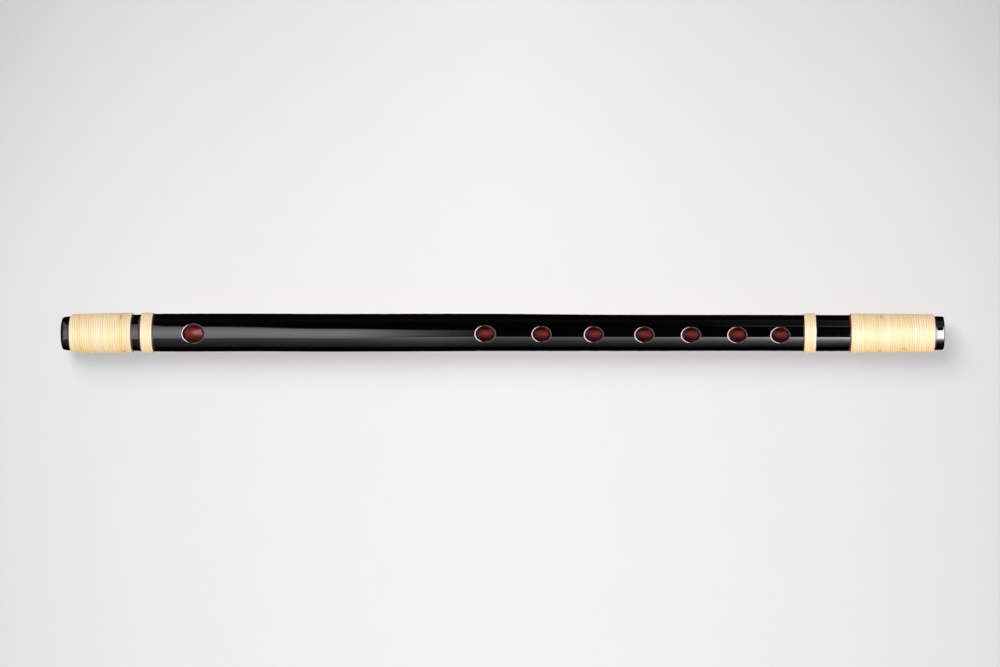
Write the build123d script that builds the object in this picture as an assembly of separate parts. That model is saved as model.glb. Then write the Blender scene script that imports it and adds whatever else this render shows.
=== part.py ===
from build123d import *
import os

# Side-blown bamboo flute: a lacquered tube with a blowing hole and seven finger holes, a red lacquer coat
# in the bore, a plugged head, and four rattan bindings. Sizes are in millimetres.
# The tube lies along X, head at -X and foot at +X, with its holes facing +Z. Stations are distances from
# the head end. Every piece is made about the X axis and lifted at the end, so that the widest binding
# rests on Z = 0.

# Tube
LENGTH = 400.0
HEAD_FLARE = [(0.0, 7.7), (31.9, 8.2), (43.0, 8.6), (56.0, 8.65), (75.0, 8.63)]
HEAD_SLOPE = 0.016
BARREL_RADIUS = 8.63
BARREL = (75.0, 135.0)
FOOT_TAPER = [(135.0, 8.63), (190.0, 8.5), (245.0, 8.3), (325.0, 8.16), (352.0, 8.2), (400.0, 7.6)]
FOOT_SLOPE = -0.014
END_ROUNDING = 0.6

# Bore of the bamboo, and the red lacquer coat inside it
BORE_HEAD_RADIUS = 6.5
BORE_FOOT_RADIUS = 6.25
BORE_CYLINDER_START = 335.0
LINING_THICKNESS = 0.35
LINING_END_ROUNDING = 0.2

# Stopper that ends the air column, and the plug that closes the head
PLUG_LENGTH = 10.0
PLUG_EDGE = 0.5
PLUG_DISH_RADIUS = 4.6
PLUG_DISH_DEPTH = 0.6
STOPPER_START = 41.5
STOPPER_LENGTH = 12.0
STOPPER_EDGE = 0.4
WAX_THICKNESS = 1.5
AIR_COLUMN_START = STOPPER_START + STOPPER_LENGTH + WAX_THICKNESS

# Holes: ovals that are longer along the tube. The finger holes drift round towards -Y.
MOUTH_STATION = 60.5
MOUTH_SIZE = (9.2, 8.4)
FINGER_STATIONS = [193.0, 218.5, 242.1, 264.9, 285.9, 306.8, 326.1]
FIRST_FINGER_SIZE = (8.2, 7.1)
FINGER_SIZE = (7.7, 6.7)
FIRST_FINGER_ROLL = 1.6
LAST_FINGER_ROLL = 4.7
LONGEST_RIM = 12.0
RIM_ROUNDING = 0.6

# Rattan bindings: start, end, turns, outer radius at the start and at the end
HEAD_WRAP = (4.0, 31.9, 26, 8.88, 9.2)
HEAD_BAND = (36.5, 41.6, 5, 9.2, 9.2)
FOOT_BAND = (337.1, 342.2, 5, 8.98, 8.98)
FOOT_WRAP = (358.1, 395.6, 35, 8.9, 8.6)
STRIP_CROWN = 0.22
SEAL_RADIUS = 0.42

AXIS_HEIGHT = HEAD_BAND[4]


def at(station, radius):
    """Point of a half section: X along the tube, Z out from its axis."""
    return (station - LENGTH / 2, 0, radius)


def turned(*outline):
    """Solid turned about the tube's axis from the closed outline of its half section."""
    return revolve(make_face(outline), Axis.X, 360)


def disc(start, end, radius):
    """Plain turned cylinder between two stations."""
    corners = [at(start, 0), at(start, radius), at(end, radius), at(end, 0)]
    return turned(Polyline(*corners, close=True))


def tube_blank():
    """Outside of the tube as a solid: a flare, a true cylinder and a long taper."""
    flare = Spline(*[at(*p) for p in HEAD_FLARE], tangents=[(1, 0, HEAD_SLOPE), (1, 0, 0)])
    barrel = Line(at(BARREL[0], BARREL_RADIUS), at(BARREL[1], BARREL_RADIUS))
    taper = Spline(*[at(*p) for p in FOOT_TAPER], tangents=[(1, 0, 0), (1, 0, FOOT_SLOPE)])
    close = Polyline(at(LENGTH, FOOT_TAPER[-1][1]), at(LENGTH, 0), at(0, 0), at(0, HEAD_FLARE[0][1]))
    return turned(flare, barrel, taper, close)


def air_column(offset):
    """Bore from the wax to the foot, drawn in by an offset: tapered, then straight."""
    head = BORE_HEAD_RADIUS - offset
    foot = BORE_FOOT_RADIUS - offset
    corners = [at(AIR_COLUMN_START, 0), at(AIR_COLUMN_START, head), at(BORE_CYLINDER_START, foot)]
    corners += [at(LENGTH, foot), at(LENGTH, 0)]
    return turned(Polyline(*corners, close=True))


def hole(station, size, roll):
    """Oval cutter that stands on the tube's axis and leans round it by the roll angle."""
    oval = extrude(Ellipse(size[0] / 2, size[1] / 2), 2 * BARREL_RADIUS)
    return Pos(station - LENGTH / 2, 0, 0) * Rot(roll, 0, 0) * oval


def holes():
    """Cutters for the blowing hole and the seven finger holes."""
    first, last = FINGER_STATIONS[0], FINGER_STATIONS[-1]
    cutters = [hole(MOUTH_STATION, MOUTH_SIZE, 0)]
    for station in FINGER_STATIONS:
        size = FIRST_FINGER_SIZE if station == first else FINGER_SIZE
        drift = (station - first) / (last - first)
        roll = FIRST_FINGER_ROLL + drift * (LAST_FINGER_ROLL - FIRST_FINGER_ROLL)
        cutters.append(hole(station, size, roll))
    return cutters


def is_outer_rim(edge):
    """True for the edge of a hole on the outside of the tube."""
    box = edge.bounding_box()
    return box.center().Z > BORE_HEAD_RADIUS and 0 < box.size.X < LONGEST_RIM


def bamboo_tube():
    """Bored bamboo body with rounded ends and rounded hole rims."""
    body = tube_blank()
    ends = body.edges().filter_by(GeomType.CIRCLE)
    body = fillet(ends.group_by(Axis.X)[0] + ends.group_by(Axis.X)[-1], END_ROUNDING)
    body -= disc(0, AIR_COLUMN_START, BORE_HEAD_RADIUS)
    body -= air_column(0)
    for cutter in holes():
        body -= cutter
    return fillet(body.edges().filter_by(is_outer_rim), RIM_ROUNDING)


def bore_lining():
    """Red lacquer coat of the air column, open at every hole and at the foot."""
    coat = air_column(0) - air_column(LINING_THICKNESS)
    mouth = coat.edges().filter_by(GeomType.CIRCLE).group_by(Axis.X)[-1].sort_by(SortBy.RADIUS)[0]
    coat = fillet(mouth, LINING_END_ROUNDING)
    for cutter in holes():
        coat -= cutter
    return coat


def head_plug():
    """Turned wooden plug, flush with the head end, with a shallow dish in its face."""
    plug = disc(0, PLUG_LENGTH, BORE_HEAD_RADIUS) - disc(0, PLUG_DISH_DEPTH, PLUG_DISH_RADIUS)
    inner = plug.edges().filter_by(GeomType.CIRCLE).group_by(Axis.X)[-1]
    return chamfer(inner, PLUG_EDGE)


def cork_stopper():
    """Cork cylinder across the bore, with eased edges."""
    cork = disc(STOPPER_START, STOPPER_START + STOPPER_LENGTH, BORE_HEAD_RADIUS)
    return chamfer(cork.edges().filter_by(GeomType.CIRCLE).group_by(Axis.X)[0], STOPPER_EDGE)


def wax_reflector():
    """Wax disc between the stopper and the air column."""
    return disc(STOPPER_START + STOPPER_LENGTH, AIR_COLUMN_START, BORE_HEAD_RADIUS)


def binding(start, end, turns, start_radius, end_radius):
    """Close-wound rattan strip as one sleeve, with a crown for each turn, fitted on the tube."""
    pitch = (end - start) / turns
    slope = (end_radius - start_radius) / turns
    outline = [Polyline(at(end, end_radius - STRIP_CROWN), at(end, BORE_HEAD_RADIUS),
                        at(start, BORE_HEAD_RADIUS), at(start, start_radius - STRIP_CROWN))]
    for turn in range(turns):
        left = at(start + turn * pitch, start_radius + turn * slope - STRIP_CROWN)
        crown = at(start + (turn + 0.5) * pitch, start_radius + (turn + 0.5) * slope)
        right = at(start + (turn + 1) * pitch, start_radius + (turn + 1) * slope - STRIP_CROWN)
        outline.append(ThreePointArc(left, crown, right))
    return turned(*outline) - tube_blank()


def tube_radius(station):
    """Outside radius of the tube at a station."""
    slice_face = section(tube_blank(), section_by=Plane(at(station, 0), z_dir=(1, 0, 0)))
    return slice_face.bounding_box().size.Y / 2


def seal(station, side):
    """Quarter-round lacquer bead in the corner between a binding and the tube."""
    radius = tube_radius(station)
    corner = at(station, radius)
    bead = revolve(Plane(corner, x_dir=(1, 0, 0), z_dir=(0, -1, 0)) * Circle(SEAL_RADIUS), Axis.X, 360)
    reach = 2 * SEAL_RADIUS
    half = disc(station, station + side * reach, radius + reach)
    return (bead & half) - tube_blank()


def binding_seals():
    """A bead along both edges of every binding."""
    beads = []
    for start, end, *_ in (HEAD_WRAP, HEAD_BAND, FOOT_BAND, FOOT_WRAP):
        beads += [seal(start, -1), seal(end, 1)]
    return Compound([solid for bead in beads for solid in bead.solids()])


def save(name, shape):
    """Lift a piece onto the resting surface and write it."""
    export_step(Pos(0, 0, AXIS_HEIGHT) * shape, f"parts/{name}.step")


os.makedirs("parts", exist_ok=True)
save("bamboo_tube", bamboo_tube())
save("bore_lining", bore_lining())
save("head_plug", head_plug())
save("cork_stopper", cork_stopper())
save("wax_reflector", wax_reflector())
save("head_wrap", binding(*HEAD_WRAP))
save("head_band", binding(*HEAD_BAND))
save("foot_band", binding(*FOOT_BAND))
save("foot_wrap", binding(*FOOT_WRAP))
save("binding_seals", binding_seals())
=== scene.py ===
from math import cos, pi, radians, sin

import bmesh
import bpy
import numpy as np
from mathutils import Matrix, Vector


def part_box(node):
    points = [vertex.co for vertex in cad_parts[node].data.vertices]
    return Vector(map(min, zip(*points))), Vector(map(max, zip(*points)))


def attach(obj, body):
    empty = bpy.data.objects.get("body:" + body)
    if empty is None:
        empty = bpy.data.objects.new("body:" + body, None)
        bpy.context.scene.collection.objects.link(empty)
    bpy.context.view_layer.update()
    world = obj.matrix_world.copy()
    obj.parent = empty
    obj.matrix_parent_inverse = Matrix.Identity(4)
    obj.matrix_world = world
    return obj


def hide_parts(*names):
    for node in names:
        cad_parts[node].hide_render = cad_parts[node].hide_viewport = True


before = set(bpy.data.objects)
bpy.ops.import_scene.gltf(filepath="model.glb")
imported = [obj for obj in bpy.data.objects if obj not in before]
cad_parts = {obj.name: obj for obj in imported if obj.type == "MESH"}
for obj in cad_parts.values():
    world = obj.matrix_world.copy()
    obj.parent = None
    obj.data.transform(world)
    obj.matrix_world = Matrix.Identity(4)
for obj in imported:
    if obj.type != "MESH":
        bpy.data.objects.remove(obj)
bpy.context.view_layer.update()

# Looks of the bamboo flute. Meshes are worked out in millimetres from the head end of the tube
# ("station"), the angle round it (0 at the top, growing towards -Y) and the distance from its axis.

MM = 0.001
BODY = "root"

tube_low, tube_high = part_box("bamboo_tube")
HEAD_X = tube_low.x / MM
LENGTH = (tube_high.x - tube_low.x) / MM
AXIS_Z = (tube_low.z + tube_high.z) / 2 / MM

# Tube: a curve through the points of the CAD tube's outline, and the slight ripple of hand-laid lacquer
OUTLINE = [(0.0, 7.7), (31.9, 8.2), (43.0, 8.6), (56.0, 8.65), (75.0, 8.63), (135.0, 8.63), (190.0, 8.5),
           (245.0, 8.3), (325.0, 8.16), (352.0, 8.2), (400.0, 7.6)]
RIPPLE = 0.02

# Axis: station, and how far the bamboo has grown out of true towards +Y
GROWTH = [(0.0, -0.5), (15.0, -0.33), (30.0, -0.2), (60.0, -0.08), (90.0, -0.02), (118.0, -0.12),
          (150.0, -0.05), (200.0, 0.12), (230.0, 0.0), (270.0, -0.05), (305.0, 0.0), (350.0, -0.06),
          (400.0, -0.06)]

# Rounded ends of the tube: how far each reaches along it and into it
HEAD_ROUNDING, FOOT_ROUNDING = (2.6, 0.8), (0.8, 0.5)

# Bore of the bamboo, the red lacquer coat in it, and the easing of their edges at the ends
BORE_HEAD, BORE_FOOT = 6.5, 6.25
BORE_EASE = 0.15
COAT = 0.35
COAT_EASE = 0.2
AIR_COLUMN = (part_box("bore_lining")[0].x / MM - HEAD_X, 335.0)

# Painted shade of the red coat, darker up the bore's sides: station, angle in degrees where it is brightest,
# and how far round that reaches
PAINTED_COAT_SHADE = [(80, 173, 27), (180, 168, 16.5), (335, 168, 16.5), (350, 168, 400)]

# Holes: station, size along, size across, roll in degrees, width of the rounded rim along and across
MOUTH = (60.5, 9.2, 8.4, 0.5, 0.9, 0.45)
FINGER_STATIONS = (193.0, 218.5, 242.1, 264.9, 285.9, 306.8, 326.1)
FIRST_FINGER = (8.2, 7.1, 0.8, 0.42)
FINGER = (7.7, 6.7, 0.7, 0.4)
FIRST_ROLL, LAST_ROLL = 1.6, 4.7
RIM_DEPTH = 0.55
WALL_TAPER = 0.5

# Mesh fineness: columns round the tube and the plug, steps along the tube's outside, its bore and the red
# coat, rows over a rounded edge, and the square patch round a hole, whose rows crowd towards the hole
AROUND = 144
PLUG_AROUND = 96
TUBE_STEP, BORE_STEP, COAT_STEP = 2.4, 6.0, 3.0
RIM_ROWS = 10
PATCH_HALF_LENGTH = 8.0
PATCH_HALF_COLUMNS = 20
PATCH_ROWS, PATCH_CROWDING = 10, 1.35

# Rattan strip: gap between turns, sway of its edges, drop from crown to edges, unevenness of its crown, how
# deep its ends are tucked in, how square its section is, steps along one turn and points across it
STRIP_GAP, STRIP_SWAY, STRIP_DROP, STRIP_UNEVEN = 0.008, 0.07, 0.2, 0.05
STRIP_TUCK, STRIP_SQUARENESS = 0.5, 2.5
STRIP_STEPS, STRIP_POINTS = 96, 13

# Bindings: CAD node, turns, crown radius at its start, a quarter of the way and at its end, seed of its tone,
# and the width, height, rust tint and strength of colour of the lacquer run along its two edges
BINDINGS = (
    ("head_wrap", 26, (8.68, 8.95, 9.2), 3, (0.9, 0.2, 0.2, 0.45), (1.2, 0.12, 0.6, 0.14)),
    ("head_band", 5, (9.2, 9.2, 9.2), 11, (0.9, 0.35, 0.0, 1.0), (1.2, 0.12, 0.6, 0.14)),
    ("foot_band", 5, (8.98, 8.98, 8.98), 18, (0.5, 0.2, 0.9, 0.7), (0.3, 0.12, 0.0, 0.4)),
    ("foot_wrap", 35, (8.9, 8.85, 8.6), 7, (0.9, 0.25, 1.0, 0.6), (0.9, 0.15, 0.0, 0.45)),
)

# Darker stretches of the rattan: station, half-width and strength
TAN = ((8.2, 1.0, 0.25), (27.2, 1.3, 0.4), (29.8, 1.0, 0.1), (368.5, 4.0, 0.2), (372.6, 0.6, 0.25),
       (382.0, 3.0, 0.15), (393.5, 1.2, 0.1))

# Painted light on the bindings: a painted highlight along the crown, a little behind the top, and painted
# shade in darker honey down their sides
PAINTED_SIDE_SHADE, PAINTED_HIGHLIGHT_ANGLE = 0.3, -20.0

# Knots and scars in the rattan: station, angle in degrees and half-length in degrees
SCARS = ((371.4, -60.0, 9.0), (370.6, 64.0, 6.0), (381.2, 50.0, 6.0), (382.5, 56.0, 5.0), (28.9, 62.0, 7.0),
         (27.6, -58.0, 12.0))


def span(name):
    """Start and end stations of a CAD node."""
    low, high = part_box(name)
    return low.x / MM - HEAD_X, high.x / MM - HEAD_X


def curve(points, station):
    """Smooth curve through points of station and value."""
    s, v = np.array(points).T
    step = np.diff(s)
    rise = np.diff(v) / step
    slope = np.empty_like(v)
    slope[1:-1] = (rise[:-1] * step[1:] + rise[1:] * step[:-1]) / (step[:-1] + step[1:])
    slope[0], slope[-1] = rise[0], rise[-1]
    i = np.clip(np.searchsorted(s, station) - 1, 0, len(step) - 1)
    t = (station - s[i]) / step[i]
    return (v[i] * (1 + 2 * t) * (1 - t) ** 2 + step[i] * slope[i] * t * (1 - t) ** 2
            + v[i + 1] * t * t * (3 - 2 * t) + step[i] * slope[i + 1] * t * t * (t - 1))


def smooth_step(low, high, value):
    """Rises smoothly from 0 at low to 1 at high."""
    t = np.clip((value - low) / (high - low), 0, 1)
    return t * t * (3 - 2 * t)


def columns_round(count):
    """Angles of the columns of a surface, from one edge of the square patches round the tube."""
    return (np.arange(count) - PATCH_HALF_COLUMNS) * 2 * pi / count


def outline(station):
    """Outside radius of the tube."""
    return curve(OUTLINE, station)


def place(station, angle, radius):
    """Points in millimetres at stations, angles and radii."""
    station, angle, radius = np.broadcast_arrays(station, angle, radius)
    y = curve(GROWTH, station) - radius * np.sin(angle)
    return np.stack([HEAD_X + station, y, AXIS_Z + radius * np.cos(angle)], -1)


def tube_radius(station, angle):
    """Outside of the lacquered tube."""
    wave = np.sin(station / 19.0 + 1.3) * np.cos(2 * angle + 0.7 * np.sin(station / 37.0))
    wave += 0.5 * np.sin(station / 8.3 + 2.1 * np.cos(angle) + 0.4)
    return outline(station) + RIPPLE * wave


def bore_radius(station, angle=0.0, inset=0.0):
    """Bore of the bamboo, drawn in by the thickness of the lacquer coat."""
    taper = np.clip((station - AIR_COLUMN[0]) / (AIR_COLUMN[1] - AIR_COLUMN[0]), 0, 1)
    return BORE_HEAD + (BORE_FOOT - BORE_HEAD) * taper - inset + 0 * angle


def coat_radius(station, angle=0.0):
    """Inside of the red lacquer coat, a little wavy from the brush."""
    wave = 0.03 * np.sin(station / 3.1 + 1.7 * np.sin(angle)) * np.cos(3 * angle + station / 11.0)
    return bore_radius(station, angle, COAT) + wave


def holes():
    """The blowing hole and the finger holes, which drift round the tube."""
    found = [MOUTH]
    for i, station in enumerate(FINGER_STATIONS):
        along, across, rim_along, rim_across = FINGER if i else FIRST_FINGER
        drift = (station - FINGER_STATIONS[0]) / (FINGER_STATIONS[-1] - FINGER_STATIONS[0])
        roll = FIRST_ROLL + drift * (LAST_ROLL - FIRST_ROLL)
        found.append((station, along, across, roll, rim_along, rim_across))
    return found


class Skin:
    """Sheets of quads in millimetres, with named numbers on their points, welded into one mesh."""

    def __init__(self, *tags):
        self.points, self.faces, self.count = [], [], 0
        self.tags = {tag: [] for tag in tags}

    def sheet(self, points, keep=None, **values):
        """Adds a grid of points whose last column joins its first, with all quads or those in keep."""
        rows, columns = points.shape[:2]
        index = self.count + np.arange(rows * columns).reshape(rows, columns)
        right = np.roll(index, -1, axis=1)
        quads = np.stack([index[:-1], index[1:], right[1:], right[:-1]], -1)
        if keep is not None:
            quads = quads[keep]
        self.points.append(points.reshape(-1, 3))
        self.faces += quads.reshape(-1, 4).tolist()
        for tag in self.tags:
            value = np.broadcast_to(values.get(tag, 0.0), (rows, columns))
            self.tags[tag].append(value.reshape(-1))
        self.count += rows * columns
        return index

    def cap(self, ring):
        """Closes the end of a sheet with one face."""
        self.faces.append([int(i) for i in ring])

    def build(self, name, material, sharp=38.0, normals=None):
        """Makes the object, riding on the flute's body."""
        mesh = bpy.data.meshes.new(name)
        mesh.from_pydata((np.concatenate(self.points) * MM).tolist(), [], self.faces)
        for tag, values in self.tags.items():
            layer = mesh.attributes.new(tag, "FLOAT", "POINT")
            layer.data.foreach_set("value", np.concatenate(values).astype(np.float32))
        bm = bmesh.new()
        bm.from_mesh(mesh)
        bmesh.ops.remove_doubles(bm, verts=bm.verts, dist=0.0008 * MM)
        bmesh.ops.delete(bm, geom=[v for v in bm.verts if not v.link_faces], context="VERTS")
        bmesh.ops.recalc_face_normals(bm, faces=bm.faces)
        bm.to_mesh(mesh)
        bm.free()
        mesh.polygons.foreach_set("use_smooth", np.ones(len(mesh.polygons), bool))
        mesh.set_sharp_from_angle(angle=radians(sharp))
        if normals is not None:
            mesh.normals_split_custom_set_from_vertices(normals(mesh))
        mesh.materials.append(material)
        piece = bpy.data.objects.new(name, mesh)
        bpy.context.scene.collection.objects.link(piece)
        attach(piece, BODY)
        return piece


def stations_with_patches(start, end, step):
    """Station lines of a grid: 1 mm apart beside the holes, and wider elsewhere."""
    lines, reached = [start], start
    for hole in holes():
        low, high = hole[0] - PATCH_HALF_LENGTH, hole[0] + PATCH_HALF_LENGTH
        lines += list(np.linspace(reached, low, max(2, round((low - reached) / step)) + 1)[1:])
        lines += list(np.linspace(low, high, round(high - low) + 1)[1:])
        reached = high
    lines += list(np.linspace(reached, end, max(2, round((end - reached) / step)) + 1)[1:])
    return np.array(lines)


def half_sizes(hole, grow):
    """Half sizes of a hole: at the top of its wall (0), round its rim (1) and in the bore (-1)."""
    _, along, across, _, rim_along, rim_across = hole
    if grow < 0:
        rim_along = rim_across = WALL_TAPER
    return along / 2 + grow * rim_along, across / 2 + grow * rim_across


def oval(hole, radius, grow, corner):
    """Ring of a hole on a surface, one point for each point of the square patch round it."""
    station, roll = hole[0], hole[3]
    a, b = half_sizes(hole, grow)
    s = station + a * np.cos(corner)
    q = b * np.sin(corner)
    angle = radians(roll) + 0 * s
    for _ in range(3):
        angle = radians(roll) + np.arcsin(q / radius(s, angle))
    return s, angle


def patch_edge(hole, columns):
    """Stations and angles round the edge of the square patch of a hole, in order."""
    low, high = hole[0] - PATCH_HALF_LENGTH, hole[0] + PATCH_HALF_LENGTH
    s = np.linspace(low, high, round(high - low) + 1)
    left, right = columns[0], columns[-1]
    edge = [(v, right) for v in s[::-1]]
    edge += [(low, v) for v in columns[::-1][1:]]
    edge += [(v, left) for v in s[1:]]
    edge += [(high, v) for v in columns[1:-1]]
    return np.array(edge).T


def holed_surface(skin, radius, start, end, step, grow, **values):
    """A tube surface with a neat ring of quads round every hole, and numbers for the skin's tags, which may
    be functions of station and angle. Returns the holes' rings."""
    def add(s, angle, keep=None):
        worked = {key: value(s, angle) if callable(value) else value for key, value in values.items()}
        skin.sheet(place(s, angle, radius(s, angle)), keep=keep, **worked)

    lines = stations_with_patches(start, end, step)
    angles = columns_round(AROUND)
    columns = angles[:2 * PATCH_HALF_COLUMNS + 1]
    middle = (lines[:-1] + lines[1:]) / 2
    in_patch = np.zeros(len(middle), bool)
    for hole in holes():
        in_patch |= np.abs(middle - hole[0]) < PATCH_HALF_LENGTH
    keep = np.ones((len(middle), AROUND), bool)
    keep[in_patch, :2 * PATCH_HALF_COLUMNS] = False
    s, angle = np.meshgrid(lines, angles, indexing="ij")
    add(s, angle, keep)
    rings = []
    for hole in holes():
        edge_s, edge_angle = patch_edge(hole, columns)
        roll = radians(hole[3])
        half_angle = np.where(edge_angle > roll, columns[-1] - roll, roll - columns[0])
        corner = np.arctan2((edge_angle - roll) / half_angle, (edge_s - hole[0]) / PATCH_HALF_LENGTH)
        ring_s, ring_angle = oval(hole, radius, grow, corner)
        share = (np.linspace(0, 1, PATCH_ROWS) ** PATCH_CROWDING)[:, None]
        s = ring_s + share * (edge_s - ring_s)
        angle = ring_angle + share * (edge_angle - ring_angle)
        add(s, angle)
        rings.append((hole, corner))
    return rings


def hole_frame(hole, corner, grow):
    """Station and distance across, in a hole's own frame, of one of its ovals."""
    a, b = half_sizes(hole, grow)
    return hole[0] + a * np.cos(corner), b * np.sin(corner)


def stand(hole, s, across, height):
    """Points at a station, a distance across and a height above the axis, turned by the roll."""
    roll = radians(hole[3])
    y = curve(GROWTH, s) - across * cos(roll) - height * sin(roll)
    z = height * cos(roll) - across * sin(roll)
    return np.stack([HEAD_X + s, y, AXIS_Z + z], -1)


def surface_height(hole, s, across, radius):
    """Height of a surface above the axis in a hole's own frame."""
    roll = radians(hole[3])
    angle = roll + 0 * s
    for _ in range(3):
        angle = roll + np.arcsin(across / radius(s, angle))
    return radius(s, angle) * np.cos(angle - roll)


def rim_and_wall(skin, hole, corner):
    """The rounded rim of a hole and its wall down to the bore."""
    bend = np.linspace(0, pi / 2, RIM_ROWS)
    rows, red = [], []
    for angle in bend:
        s, across = hole_frame(hole, corner, 1 - sin(angle))
        height = surface_height(hole, s, across, tube_radius) - RIM_DEPTH * (1 - cos(angle))
        rows.append(stand(hole, s, across, height))
        # Red-brown over the rim, then painted shade darkening its inner edge as it turns down into the wall.
        rim_tint_and_shade = smooth_step(0.05, 0.45, angle) * 0.3 + smooth_step(1.0, 1.5, angle) * 0.3
        red.append(np.full(len(corner), rim_tint_and_shade))
    foot_s, foot_across = hole_frame(hole, corner, -1)
    foot = surface_height(hole, foot_s, foot_across, bore_radius)
    for share in (0.1, 0.35, 0.65, 1.0):
        rows.append(stand(hole, s + share * (foot_s - s), across + share * (foot_across - across),
                          height + share * (foot - height)))
        # Painted shade: the wall is near black at its top and turns red towards the bore.
        red.append(np.full(len(corner), 0.6 + 0.4 * share ** 3))
    skin.sheet(np.array(rows), red=np.array(red))


def lathe(skin, stations, radii, around):
    """Surface turned from an outline of stations and radii."""
    s, angle = np.meshgrid(stations, columns_round(around), indexing="ij")
    skin.sheet(place(s, angle, radii[:, None]))


def skin_normals(mesh):
    """True normals of the lacquered outside, so that its reflections run smooth round the holes."""
    count = len(mesh.vertices)
    co = np.empty(count * 3)
    mesh.vertices.foreach_get("co", co)
    co = co.reshape(-1, 3) / MM
    outside = np.empty(count, np.float32)
    mesh.attributes["outside"].data.foreach_get("value", outside)
    s = co[:, 0] - HEAD_X
    angle = np.arctan2(curve(GROWTH, s) - co[:, 1], co[:, 2] - AXIS_Z)
    step = 0.05
    along = (tube_radius(s + step, angle) - tube_radius(s - step, angle)) / (2 * step)
    turn = step / 8
    round_it = (tube_radius(s, angle + turn) - tube_radius(s, angle - turn)) / (2 * turn)
    round_it /= tube_radius(s, angle)
    radial = np.stack([0 * s, -np.sin(angle), np.cos(angle)], -1)
    tangent = np.stack([0 * s, -np.cos(angle), -np.sin(angle)], -1)
    normal = radial - along[:, None] * np.array([1.0, 0, 0]) - round_it[:, None] * tangent
    normal /= np.linalg.norm(normal, axis=1, keepdims=True)
    normal[outside < 0.5] = 0
    return normal.tolist()


def rounded_end(skin, station, inward, rounding, inner):
    """Rounded lip and flat end face of the tube; inward is the direction into the tube."""
    bend = np.linspace(0, pi / 2, RIM_ROWS)
    length, depth = rounding
    outer = outline(station + inward * length)
    lip_s = station + inward * length * (1 - np.sin(bend))
    lip_r = outer - depth * (1 - np.cos(bend))
    angles = columns_round(AROUND)
    edge = tube_radius(lip_s[0], angles)
    rows = [place(s, angles, edge + (r - outer)) for s, r in zip(lip_s, lip_r)]
    rows.append(place(station, angles, (lip_r[-1] + inner) / 2))
    rows.append(place(station, angles, inner + BORE_EASE))
    rows.append(place(station + inward * BORE_EASE, angles, inner))
    lip = np.array([*np.linspace(0, 1, len(bend)), 1, 1, 1])[:, None]
    skin.sheet(np.array(rows), lip=lip)


def make_tube(material):
    """Lacquered bamboo tube, closed all round: outside, rims, hole walls, ends and bore."""
    skin = Skin("red", "outside", "lip")
    start, end = HEAD_ROUNDING[0], LENGTH - FOOT_ROUNDING[0]
    rings = holed_surface(skin, tube_radius, start, end, TUBE_STEP, 1, outside=1.0)
    for hole, corner in rings:
        rim_and_wall(skin, hole, corner)
    holed_surface(skin, bore_radius, BORE_EASE, LENGTH - BORE_EASE, BORE_STEP, -1, red=1.0)
    rounded_end(skin, 0.0, 1, HEAD_ROUNDING, BORE_HEAD)
    rounded_end(skin, LENGTH, -1, FOOT_ROUNDING, BORE_FOOT)
    tube = skin.build("lacquered_tube", material, normals=skin_normals)
    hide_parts("bamboo_tube")


def deep_red(station, angle):
    """Painted shade on the coat, from 0 to 1: bright along the floor of the bore, and darker up its sides."""
    stations, lines, reaches = np.array(PAINTED_COAT_SHADE).T
    brightest = np.interp(station, stations, lines)
    reach = np.interp(station, stations, reaches)
    return 1 - np.exp(-((np.degrees(angle) % 360 - brightest) / reach) ** 2)


def make_lining(material):
    """Red lacquer coat of the air column, open at the holes and the foot."""
    skin = Skin("deep")
    start, end = AIR_COLUMN[0], LENGTH
    rings = holed_surface(skin, bore_radius, start, end, BORE_STEP, -1)
    # The coat's inner sheet carries the painted shade, darker up the bore's sides.
    holed_surface(skin, coat_radius, start, end - COAT_EASE, COAT_STEP, -1, deep=deep_red)
    for hole, corner in rings:
        s, across = hole_frame(hole, corner, -1)
        top = stand(hole, s, across, surface_height(hole, s, across, bore_radius))
        low = stand(hole, s, across, surface_height(hole, s, across, coat_radius))
        skin.sheet(np.array([top, low]))
    angles = columns_round(AROUND)
    head = [place(start, angles, bore_radius(start)), place(start, angles, coat_radius(start, angles))]
    skin.sheet(np.array(head))
    mouth = [place(end, angles, bore_radius(end)), place(end, angles, coat_radius(end, angles) + 0.18),
             place(end - 0.06, angles, coat_radius(end, angles) + 0.06),
             place(end - COAT_EASE, angles, coat_radius(end - COAT_EASE, angles))]
    skin.sheet(np.array(mouth))
    lining = skin.build("red_bore", material)
    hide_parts("bore_lining")


def smooth_noise(rng, count, length):
    """Smooth random numbers from 0 to 1, with a chosen length of wave."""
    knots = rng.random(int(count / length) + 4)
    t = np.arange(count) / length
    i = t.astype(int)
    f = t - i
    f = f * f * (3 - 2 * f)
    return knots[i] * (1 - f) + knots[i + 1] * f


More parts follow.
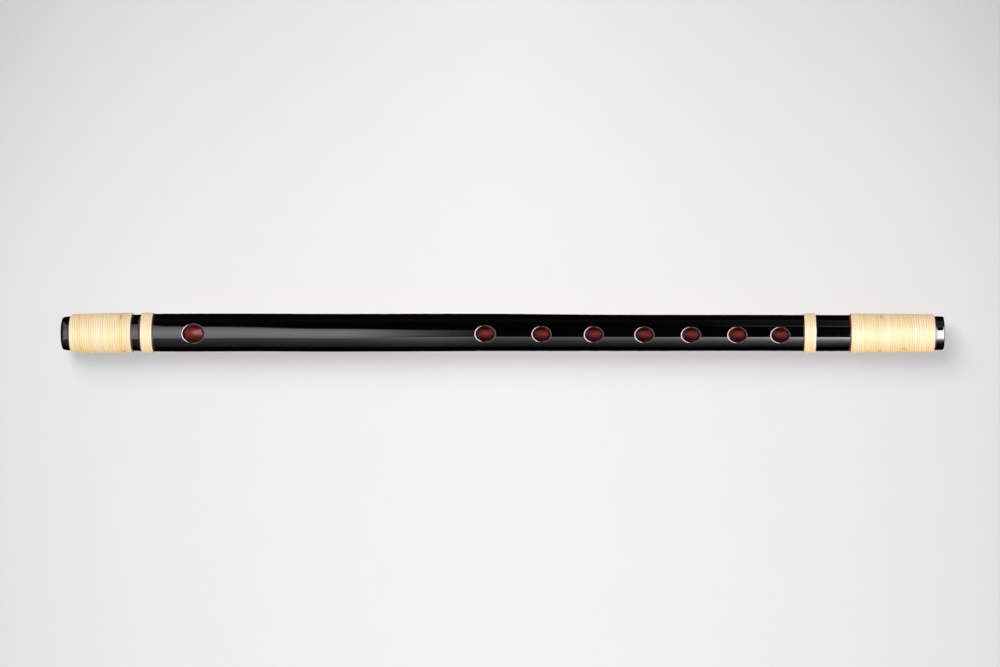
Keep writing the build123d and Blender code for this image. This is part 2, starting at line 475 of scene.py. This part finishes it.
def make_binding(material, name, turns, radii, seed, *_):
    """One rattan strip, close-wound as a helix, its ends tapered so that both edges run true."""
    start, end = span(name)
    pitch = (end - start) / turns
    steps = STRIP_STEPS
    rng = np.random.default_rng(seed)
    total = (turns + 1) * steps + 1
    turn = np.arange(total) / steps
    sway = (smooth_noise(rng, total + steps, steps * 0.8) - 0.5) * STRIP_SWAY

    def border(at_turn, shift):
        inside = np.clip(np.minimum(at_turn, turns - at_turn), 0, 0.5) * 2
        return start + pitch * np.clip(at_turn, 0, turns) + sway[shift:shift + total] * inside

    left = border(turn - 1, 0)
    right = border(turn, steps)
    width = np.maximum(right - left - 2 * STRIP_GAP, 0.05)
    middle = (left + right) / 2
    crown = np.interp(middle, [start, start + (end - start) / 4, end], radii)
    crown = crown - STRIP_UNEVEN * smooth_noise(rng, total, steps * 1.7)
    tuck = np.clip(np.minimum(turn, turns + 1 - turn) / 0.12, 0, 1)
    crown = crown - (1 - tuck) * STRIP_TUCK
    angle = pi + 0.6 + 2 * pi * turn
    across = np.sin(np.linspace(-pi / 2, pi / 2, STRIP_POINTS))
    shoulder = 1 - (1 - np.abs(across) ** STRIP_SQUARENESS) ** (1 / STRIP_SQUARENESS)
    drop = STRIP_DROP * np.minimum(1, width / pitch)
    s = middle[:, None] + across * width[:, None] / 2
    r = crown[:, None] - shoulder * drop[:, None]
    base = outline(s[:, [-1, 0]])
    s = np.concatenate([s, s[:, [-1, 0]]], axis=1)
    r = np.maximum(np.concatenate([r, base], axis=1), outline(s))
    tone = 0.05 + smooth_noise(rng, total, steps * 0.7) * 0.36 + smooth_noise(rng, total, steps * 3.0) * 0.12
    for station, reach, strength in TAN:
        tone += strength * np.exp(-((middle - station) / reach) ** 2)
    tone *= np.clip(np.minimum(turn - 0.4, turns + 0.6 - turn) / 1.0, 0.0, 1)
    # Painted shade down the strip's sides and a painted highlight along its crown.
    tone += PAINTED_SIDE_SHADE * (1 - np.cos(angle - radians(PAINTED_HIGHLIGHT_ANGLE)))
    edge = np.concatenate([np.abs(across), [1.3, 1.3]])
    lane = np.concatenate([across, [1.2, -1.2]]) * pitch / 2
    scar = np.zeros(total)
    for station, at, reach in SCARS:
        off = (np.degrees(angle) - at + 180) % 360 - 180
        near = np.abs(middle - station) < pitch / 2
        scar = np.maximum(scar, near * np.exp(-(off / reach) ** 2))
    skin = Skin("tone", "edge", "along", "lane", "scar")
    index = skin.sheet(place(s, angle[:, None], r), tone=tone[:, None], edge=edge,
                       along=(turn * 2 * pi * crown.mean())[:, None], lane=lane, scar=scar[:, None])
    skin.cap(index[0])
    skin.cap(index[-1][::-1])
    strip = skin.build(name + "_strip", material, sharp=60)
    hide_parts(name)


def make_seals(material):
    """Lacquer run along both edges of each binding, feathered out over the tube by hand."""
    skin = Skin("fade", "rust", "rich")
    rng = np.random.default_rng(5)
    angles = np.arange(AROUND) * 2 * pi / AROUND
    share = np.linspace(0, 1, 8)
    for name, _, _, _, *edges in BINDINGS:
        for station, side, (width, height, rust, rich) in zip(span(name), (-1, 1), edges):
            uneven = 1 + 0.3 * np.sin(angles * 2 + rng.random() * 6) * np.sin(angles * 5 + rng.random() * 6)
            rows = [place(station + side * (width * uneven * u - 0.05), angles,
                          outline(station) + 0.01 + height * (1 - u) ** 1.7) for u in share]
            rows.append(place(station + side * (width * uneven + 0.02), angles, outline(station) - 0.03))
            rows.append(place(station - side * 0.05, angles, outline(station) - 0.03))
            rows.append(rows[0])
            fade = np.array([*share, 1, 0, 0])[:, None]
            skin.sheet(np.array(rows), fade=fade, rust=rust, rich=rich)
    seals = skin.build("edge_lacquer", material)
    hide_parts("binding_seals")


def make_plug(material):
    """Turned wooden plug in the head end: eased edge, shallow dish and a fine ring."""
    dish = [(10.0, 0.0), (10.0, 5.8), (9.5, BORE_HEAD), (0.25, BORE_HEAD), (0.06, 6.43), (0.0, 6.25),
            (0.0, 4.95), (0.06, 4.78), (0.35, 4.5), (0.62, 4.0), (0.72, 3.0), (0.74, 2.0), (0.74, 1.55),
            (0.6, 1.35), (0.42, 1.1), (0.32, 0.7), (0.28, 0.3), (0.27, 0.0)]
    s, r = np.array(dish).T
    skin = Skin()
    fine = np.linspace(0, len(s) - 1, 4 * (len(s) - 1) + 1)
    lathe(skin, np.interp(fine, range(len(s)), s), np.interp(fine, range(len(r)), r), PLUG_AROUND)
    plug = skin.build("head_plug_turned", material, sharp=30)
    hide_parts("head_plug")


# Materials

def shader(name, color, roughness, **sockets):
    """Principled material with plain values on its own sockets."""
    material = bpy.data.materials.new(name)
    material.use_nodes = True
    surface = material.node_tree.nodes["Principled BSDF"]
    surface.inputs["Base Color"].default_value = (*color, 1)
    surface.inputs["Roughness"].default_value = roughness
    for socket, value in sockets.items():
        surface.inputs[socket.replace("_", " ")].default_value = value
    return material, material.node_tree, surface


def node(tree, kind, inputs=None, **settings):
    """Adds a node, sets it, and links or fills its inputs."""
    made = tree.nodes.new("ShaderNode" + kind)
    for key, value in settings.items():
        setattr(made, key, value)
    for key, value in (inputs or {}).items():
        if isinstance(value, bpy.types.NodeSocket):
            tree.links.new(value, made.inputs[key])
        else:
            made.inputs[key].default_value = value
    return made


def tag(tree, name):
    """Reads a number stored on the mesh."""
    return node(tree, "Attribute", attribute_name=name).outputs["Fac"]


def stretched(tree, scale):
    """Object coordinates with a different scale along each axis."""
    coordinates = node(tree, "TexCoord").outputs["Object"]
    return node(tree, "Mapping", {"Vector": coordinates, "Scale": scale}).outputs["Vector"]


def noise(tree, vector, scale, detail=4.0, roughness=0.55):
    """Noise from 0 to 1."""
    inputs = {"Vector": vector, "Scale": scale, "Detail": detail, "Roughness": roughness}
    return node(tree, "TexNoise", inputs).outputs["Fac"]


def ramp(tree, value, stops):
    """Colour or number from a value: stops are (position, colour)."""
    made = node(tree, "ValToRGB", {"Fac": value})
    elements = made.color_ramp.elements
    while len(elements) < len(stops):
        elements.new(0.5)
    for element, (position, colour) in zip(elements, stops):
        element.position = position
        element.color = (*colour, 1) if isinstance(colour, tuple) else (colour, colour, colour, 1)
    return made.outputs["Color"]


def mixed(tree, factor, a, b, blend="MIX"):
    """Mixes two colours."""
    made = tree.nodes.new("ShaderNodeMix")
    made.data_type = "RGBA"
    made.blend_type = blend
    for socket, value in zip((made.inputs[0], made.inputs[6], made.inputs[7]), (factor, a, b)):
        if isinstance(value, bpy.types.NodeSocket):
            tree.links.new(value, socket)
        else:
            socket.default_value = value if isinstance(value, float) else (*value, 1)
    return made.outputs[2]


def bump(tree, surface, height, strength, distance):
    """Fine relief on a surface."""
    made = node(tree, "Bump", {"Height": height, "Strength": strength, "Distance": distance})
    tree.links.new(made.outputs["Normal"], surface.inputs["Normal"])


def black_lacquer():
    """Deep black gloss lacquer that turns red-brown over the hole rims and red on their walls, with painted
    shade making the walls near black at their top.
    """
    material, tree, surface = shader("black_lacquer", (0.006, 0.005, 0.006), 0.07, IOR=1.5)
    grain = noise(tree, stretched(tree, (30.0, 260.0, 260.0)), 1.0, 5.0)
    black = ramp(tree, grain, [(0.3, (0.0003, 0.0003, 0.0004)), (0.75, (0.0012, 0.0009, 0.001))])
    # Red-brown over the rims, painted shade near black at the top of the hole walls (0.6), red lower down.
    red = ramp(tree, tag(tree, "red"), [(0.0, (0.015, 0.007, 0.006)), (0.3, (0.04, 0.017, 0.015)),
                                        (0.6, (0.02, 0.002, 0.002)), (1.0, (0.05, 0.006, 0.005))])
    edge = ramp(tree, tag(tree, "red"), [(0.0, 0.0), (0.08, 1.0)])
    tree.links.new(mixed(tree, edge, black, red), surface.inputs["Base Color"])
    rub = noise(tree, stretched(tree, (55.0, 120.0, 120.0)), 1.0, 6.0, 0.6)
    gloss = ramp(tree, rub, [(0.35, 0.03), (0.75, 0.07)])
    worn = ramp(tree, tag(tree, "lip"), [(0.15, 0.0), (0.6, 1.0)])
    tree.links.new(mixed(tree, worn, gloss, (0.32, 0.32, 0.32)), surface.inputs["Roughness"])
    peel = noise(tree, stretched(tree, (500.0, 900.0, 900.0)), 1.0, 3.0)
    bump(tree, surface, peel, 0.05, 0.0001)
    return material


def red_lacquer():
    """Cinnabar lacquer of the bore: brushed, so slightly streaked round the tube, with painted shade turning
    it near black up the bore's sides.
    """
    material, tree, surface = shader("red_lacquer", (0.24, 0.04, 0.034), 0.1, IOR=1.5)
    surface.inputs["Specular Tint"].default_value = (1, 0.62, 0.64, 1)
    streak = noise(tree, stretched(tree, (900.0, 90.0, 90.0)), 1.0, 5.0)
    colour = ramp(tree, streak, [(0.25, (0.31, 0.052, 0.043)), (0.55, (0.36, 0.061, 0.051)),
                                 (0.8, (0.41, 0.071, 0.057))])
    # Painted shade: the coat turns near black up the bore's sides.
    shaded = mixed(tree, tag(tree, "deep"), colour, (0.018, 0.0015, 0.0012))
    tree.links.new(shaded, surface.inputs["Base Color"])
    tree.links.new(ramp(tree, streak, [(0.3, 0.05), (0.7, 0.10)]), surface.inputs["Roughness"])
    bump(tree, surface, streak, 0.04, 0.0002)
    return material


def rattan():
    """Split rattan: cream to honey from turn to turn, fine lengthwise fibres, dark joints, and painted shade
    down the sides of each binding.
    """
    material, tree, surface = shader("rattan", (0.8, 0.62, 0.36), 0.45, IOR=1.5, Specular_IOR_Level=0.2)
    along, lane = tag(tree, "along"), tag(tree, "lane")
    strip = node(tree, "CombineXYZ", {"X": along, "Y": lane}).outputs["Vector"]
    fibre_place = node(tree, "Mapping", {"Vector": strip, "Scale": (0.12, 7.0, 1.0)}).outputs["Vector"]
    fibre = noise(tree, fibre_place, 1.0, 5.0, 0.6)
    cloud_place = node(tree, "Mapping", {"Vector": strip, "Scale": (0.05, 0.5, 1.0)}).outputs["Vector"]
    cloud = noise(tree, cloud_place, 1.0, 3.0)
    # The tone tag holds the rattan's own tone and the painted shade down the bindings' sides.
    tone = mixed(tree, 0.2, tag(tree, "tone"), cloud)
    body = ramp(tree, tone, [(0.1, (0.74, 0.615, 0.46)), (0.45, (0.72, 0.55, 0.315)),
                             (0.9, (0.66, 0.44, 0.175))])
    fibres = ramp(tree, fibre, [(0.3, (0.88, 0.82, 0.72)), (0.6, (1.0, 1.0, 1.0))])
    body = mixed(tree, 0.4, body, fibres, "MULTIPLY")
    joint = ramp(tree, tag(tree, "edge"), [(0.0, 0.0), (0.62, 0.0), (0.77, 0.32)])
    colour = mixed(tree, joint, body, (0.44, 0.30, 0.14))
    colour = mixed(tree, ramp(tree, tag(tree, "scar"), [(0.15, 0.0), (0.7, 0.5)]), colour, (0.30, 0.15, 0.06))
    tree.links.new(colour, surface.inputs["Base Color"])
    tree.links.new(ramp(tree, fibre, [(0.3, 0.55), (0.7, 0.38)]), surface.inputs["Roughness"])
    bump(tree, surface, fibre, 0.35, 0.00012)
    return material


def seal_lacquer():
    """Translucent red-brown lacquer: rusty where it is thick by the rattan, black where it thins out."""
    material, tree, surface = shader("seal_lacquer", (0.05, 0.01, 0.006), 0.35, IOR=1.5,
                                     Specular_IOR_Level=0.35)
    thick = noise(tree, stretched(tree, (700.0, 350.0, 350.0)), 1.0, 4.0)
    wine = ramp(tree, thick, [(0.3, (0.10, 0.018, 0.016)), (0.7, (0.17, 0.036, 0.030))])
    rust = ramp(tree, thick, [(0.3, (0.10, 0.028, 0.006)), (0.7, (0.20, 0.065, 0.014))])
    glaze = mixed(tree, tag(tree, "rust"), wine, rust)
    glaze = mixed(tree, tag(tree, "rich"), (0.004, 0.002, 0.002), glaze)
    fade = ramp(tree, tag(tree, "fade"), [(0.5, 0.0), (1.0, 1.0)])
    tree.links.new(mixed(tree, fade, glaze, (0.001, 0.0008, 0.0008)), surface.inputs["Base Color"])
    gloss = ramp(tree, tag(tree, "fade"), [(0.0, 0.6), (0.5, 0.4), (1.0, 0.08)])
    tree.links.new(gloss, surface.inputs["Roughness"])
    bump(tree, surface, thick, 0.15, 0.0002)
    return material


def plug_wood():
    """Turned hardwood under black lacquer, with faint tool rings."""
    material, tree, surface = shader("plug_wood", (0.01, 0.007, 0.006), 0.2, IOR=1.5)
    grain = noise(tree, stretched(tree, (200.0, 90.0, 1400.0)), 1.0, 4.0)
    colour = ramp(tree, grain, [(0.35, (0.006, 0.0045, 0.004)), (0.7, (0.018, 0.010, 0.007))])
    tree.links.new(colour, surface.inputs["Base Color"])
    tree.links.new(ramp(tree, grain, [(0.3, 0.16), (0.7, 0.3)]), surface.inputs["Roughness"])
    bump(tree, surface, grain, 0.15, 0.0002)
    return material


def cork():
    """Cork: warm brown cells with dark pores."""
    material, tree, surface = shader("cork", (0.42, 0.27, 0.15), 0.85)
    vector = stretched(tree, (1.0, 1.0, 1.0))
    cells = node(tree, "TexVoronoi", {"Vector": vector, "Scale": 900.0}).outputs["Distance"]
    blotch = noise(tree, vector, 350.0, 5.0)
    colour = ramp(tree, blotch, [(0.3, (0.20, 0.11, 0.05)), (0.5, (0.42, 0.26, 0.14)),
                                 (0.8, (0.55, 0.38, 0.22))])
    pores = ramp(tree, cells, [(0.0, 0.45), (0.35, 1.0)])
    tree.links.new(mixed(tree, 1.0, colour, pores, "MULTIPLY"), surface.inputs["Base Color"])
    bump(tree, surface, cells, 0.5, 0.0003)
    return material


def wax():
    """Beeswax with a red lacquer wash, faintly mottled."""
    material, tree, surface = shader("wax", (0.2, 0.04, 0.02), 0.7, Specular_IOR_Level=0.2)
    mottle = noise(tree, stretched(tree, (1.0, 1.0, 1.0)), 420.0, 4.0)
    colour = ramp(tree, mottle, [(0.3, (0.12, 0.016, 0.01)), (0.7, (0.26, 0.06, 0.025))])
    tree.links.new(colour, surface.inputs["Base Color"])
    bump(tree, surface, mottle, 0.3, 0.0002)
    return material


def dress(node_name, material):
    """Gives a CAD node its material."""
    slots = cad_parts[node_name].material_slots
    for slot in slots:
        slot.link = "OBJECT"
        slot.material = material


# Stage: camera, floor and light

CAMERA_ROLL = -0.00105
FLOOR_ALBEDO = 0.8

# Distances in metres over which the painted light and shade on the floor give way to one even tone, and that
# tone
PAINTED_LIGHT_FADE = (0.28, 0.9)
FAR_TONE = 0.85


def make_camera():
    """Looks down on the flute's holes, from a little to the foot side and the +Y side."""
    distance = 1.4164
    lean = radians(3.2)
    eye = Vector((0.0469, distance * sin(lean), AXIS_Z * MM + distance * cos(lean)))
    target = Vector((-0.0005, -0.00038, AXIS_Z * MM))
    camera = bpy.data.objects.new("camera", bpy.data.cameras.new("camera"))
    camera.data.lens = 112.3
    camera.data.clip_start, camera.data.clip_end = 0.05, 50
    forward = (target - eye).normalized()
    camera.rotation_mode = "QUATERNION"
    side = forward.cross(Vector((0, 1, 0))).normalized()
    up = side.cross(forward)
    turn = Matrix((side, up, -forward)).transposed() @ Matrix.Rotation(CAMERA_ROLL, 3, "Z")
    camera.rotation_quaternion = turn.to_quaternion()
    camera.location = eye
    bpy.context.scene.collection.objects.link(camera)
    bpy.context.scene.camera = camera


def paper_tone(x, y):
    """Painted light and shade on the floor round the flute: paler in the middle, and darker towards
    its back corners. Further out it is one even tone."""
    side = np.minimum(np.abs(x), 0.26)
    back = np.clip(y - 0.015, 0, 0.15)
    darker = 0.42 * (np.sqrt(side ** 2 + 0.0004) - 0.02) + 6 * np.maximum(0, side - 0.15) ** 2
    near = (1 - darker * (1 + 5 * back + 24 * back ** 2)) * (1 - 2.6 * back ** 2)
    far = smooth_step(*PAINTED_LIGHT_FADE, np.hypot(x, y))
    return near + (FAR_TONE - near) * far


def make_floor():
    """Pale cyclorama: a floor with painted light and shade round the flute that curves up into a wall all
    round.
    """
    radius, bend, top = 4.0, 1.5, 3.5
    profile = [(r, 0.0) for r in np.linspace(0.0, 1.0, 101)]
    profile += [(r, 0.0) for r in np.linspace(1.0, radius - bend, 16)[1:]]
    profile += [(radius - bend + bend * sin(a), bend - bend * cos(a)) for a in np.linspace(0, pi / 2, 13)[1:]]
    profile += [(radius, top)]
    around = 96
    angles = np.arange(around) * 2 * pi / around
    points = [(r * cos(a), r * sin(a), z) for r, z in profile for a in angles]
    index = np.arange(len(points)).reshape(-1, around)
    right = np.roll(index, -1, axis=1)
    faces = np.stack([index[:-1], right[:-1], right[1:], index[1:]], -1).reshape(-1, 4).tolist()
    mesh = bpy.data.meshes.new("floor")
    mesh.from_pydata(points, [], faces)
    x, y, _ = np.array(points).T
    # The floor's tone holds painted light and shade: paler in the middle, darker towards the back corners.
    layer = mesh.attributes.new("tone", "FLOAT", "POINT")
    layer.data.foreach_set("value", paper_tone(x, y).astype(np.float32))
    bm = bmesh.new()
    bm.from_mesh(mesh)
    bmesh.ops.remove_doubles(bm, verts=bm.verts, dist=1e-6)
    bmesh.ops.recalc_face_normals(bm, faces=bm.faces)
    bm.to_mesh(mesh)
    bm.free()
    mesh.polygons.foreach_set("use_smooth", np.ones(len(mesh.polygons), bool))
    material, tree, surface = shader("floor", (FLOOR_ALBEDO,) * 3, 0.9, Specular_IOR_Level=0.0)
    fibre = noise(tree, stretched(tree, (60.0, 60.0, 60.0)), 1.0, 6.0)
    paper = ramp(tree, fibre, [(0.3, FLOOR_ALBEDO * 0.995), (0.7, FLOOR_ALBEDO * 1.005)])
    tree.links.new(mixed(tree, tag(tree, "tone"), (0.0, 0.0, 0.0), paper), surface.inputs["Base Color"])
    mesh.materials.append(material)
    floor = bpy.data.objects.new("floor", mesh)
    bpy.context.scene.collection.objects.link(floor)
    floor.visible_glossy = False
    return floor


def surroundings(x, zenith):
    """Brightness of the studio as the lacquer mirrors it: place along X in metres, angle from overhead
    in degrees, positive towards +Y. A softbox stands over the head half, and a white wall on the -Y
    side is brightest beside the foot."""
    box_top = np.interp(x, [-0.8, -0.5, -0.34, -0.28, -0.25, -0.208, -0.167, -0.125, -0.099],
                        [95, 70, 41, 39, 33, 26, 25.5, 21.5, 17])
    box_fade = np.interp(x, [-0.167, -0.125, -0.099, -0.08, -0.068, -0.045], [1, 0.6, 0.37, 0.21, 0.14, 0])
    box_foot = np.interp(x, [-0.8, -0.5, -0.36, -0.3, -0.167, -0.09], [-50, -40, -30.5, -30, -28.5, -20])
    soft = np.interp(x, [-0.8, -0.35], [16, 4])
    box = 4.3 * box_fade * smooth_step(-soft, soft, box_top - zenith)
    box *= smooth_step(-soft / 2, soft / 2, zenith - box_foot)
    box *= np.interp(zenith, [-50, -30, -14, 0, 12, 21, 34, 42],
                     [0.35, 0.7, 0.92, 1.0, 0.92, 0.78, 0.58, 0.45])
    box *= np.interp(x, [-0.95, -0.4], [0.45, 1])
    beside = -zenith
    strength = np.interp(x, [-0.6, -0.335, -0.16, -0.09, -0.05, 0.0, 0.1, 0.135, 0.18, 0.207, 0.229,
                             0.25, 0.34],
                         [0.6, 0.75, 1.1, 1.75, 1.15, 1.22, 1.65, 2.3, 3.0, 4.0, 4.9, 4.5, 8.5])
    fall = np.interp(x, [-0.335, 0.0, 0.13, 0.25, 0.34], [34, 24, 19.5, 15, 8.5])
    start = np.interp(x, [-0.2, -0.1], [27, 22.5])
    wall = strength * np.exp((40 - beside) / fall) * smooth_step(start, start + 2.5, beside) * (beside < 94)
    behind = np.interp(x, [0.1, 0.135, 0.177, 0.229, 0.25, 0.33],
                       [0.01, 0.045, 0.085, 0.12, 0.17, 0.35])
    behind = behind * smooth_step(42, 52, zenith) + 0.04 * smooth_step(60, 90, zenith)
    edge = np.interp(x, [0.14, 0.17, 0.23, 0.33], [0.0, 0.5, 0.8, 1.1])
    edge = edge * np.exp(-((zenith - 46.5) / 3.2) ** 2)
    return box + wall + behind + edge


def glowing(name, points, glow):
    """A card that only mirrors see, with its own brightness at each point of its grid."""
    rows, columns = glow.shape
    index = np.arange(rows * columns).reshape(rows, columns)
    quads = np.stack([index[:-1, :-1], index[1:, :-1], index[1:, 1:], index[:-1, 1:]], -1)
    mesh = bpy.data.meshes.new(name)
    mesh.from_pydata(points.reshape(-1, 3).tolist(), [], quads.reshape(-1, 4).tolist())
    layer = mesh.attributes.new("glow", "FLOAT", "POINT")
    layer.data.foreach_set("value", glow.reshape(-1).astype(np.float32))
    material = bpy.data.materials.new(name)
    material.use_nodes = True
    tree = material.node_tree
    tree.nodes.clear()
    light = node(tree, "Emission", {"Strength": tag(tree, "glow"), "Color": (0.96, 0.95, 1.03, 1)})
    node(tree, "OutputMaterial", {"Surface": light.outputs[0]})
    mesh.materials.append(material)
    card = bpy.data.objects.new(name, mesh)
    bpy.context.scene.collection.objects.link(card)
    card.visible_camera = card.visible_diffuse = card.visible_shadow = False
    card.visible_transmission = card.visible_volume_scatter = False


def make_cards():
    """What the gloss mirrors: an arched wall of light round the flute, and a bright window past its foot."""
    distance = 1.2
    x = np.linspace(-1.0, 1.0, 161)
    zenith = np.linspace(-95, 95, 191)
    across, around = np.meshgrid(x, zenith, indexing="ij")
    angle = np.radians(around)
    arch = np.stack([across, distance * np.sin(angle), AXIS_Z * MM + distance * np.cos(angle)], -1)
    glowing("arch_card", arch, surroundings(across, around))
    u, v = np.meshgrid(np.linspace(0, 1, 25), np.linspace(-1, 1, 25), indexing="ij")
    window = np.stack([0.31 + 0.95 * u, (0.41 + 0.61 * u) * v, 1.15 - 0.85 * u], -1)
    glowing("window_card", window, np.interp(u, [0.45, 0.7, 1.0], [26.0, 15.0, 4.0]))


def area_light(name, location, size, power, lit=None, shadow=True):
    """Soft light aimed at the flute, on all pieces or on those in lit. It makes no mirror image."""
    light = bpy.data.lights.new(name, "AREA")
    light.size = size
    light.energy = power
    light.use_shadow = shadow
    lamp = bpy.data.objects.new(name, light)
    lamp.location = location
    lamp.rotation_mode = "QUATERNION"
    lamp.rotation_quaternion = Vector(location).to_track_quat("Z", "Y")
    lamp.visible_glossy = lamp.visible_camera = False
    bpy.context.scene.collection.objects.link(lamp)
    if lit:
        pieces = bpy.data.collections.new("lit_by_" + name)
        for piece in lit:
            pieces.objects.link(piece)
        lamp.light_linking.receiver_collection = pieces


def make_lights(floor):
    """A glow on the floor alone, a big soft key from the back left whose shadow shows, and for the flute a
    small light overhead and a fill on each side. Diffuse rays pass the flute's outer pieces by, so that
    they neither tint nor darken the floor."""
    flute = [o for o in bpy.context.scene.objects if o.type == "MESH" and o is not floor
             and not o.name.endswith("_card")]
    cad_pieces = list(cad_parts.values())
    for piece in flute:
        if piece not in cad_pieces and piece.name != "red_bore":
            piece.visible_diffuse = False
    area_light("floor_glow", (0.07, -0.25, 1.2), 0.35, 10.5, [floor], shadow=False)
    area_light("key", (-0.93, 1.45, 2.1), 1.7, 45.0)
    area_light("overhead", (0.0, -0.01, 0.9), 0.38, 5.2, flute)
    area_light("back_fill", (0.45, 1.3, 0.75), 0.8, 7.5, flute)
    area_light("front_fill", (0.45, -1.3, 0.75), 0.8, 22.5, flute)
    world = bpy.data.worlds.new("world")
    world.use_nodes = True
    world.node_tree.nodes["Background"].inputs["Color"].default_value = (0, 0, 0, 1)
    bpy.context.scene.world = world
    bpy.context.scene.view_settings.view_transform = "Standard"


make_camera()
cane = rattan()
make_tube(black_lacquer())
make_lining(red_lacquer())
for binding in BINDINGS:
    make_binding(cane, *binding)
make_seals(seal_lacquer())
make_plug(plug_wood())
dress("cork_stopper", cork())
dress("wax_reflector", wax())
make_cards()
make_lights(make_floor())
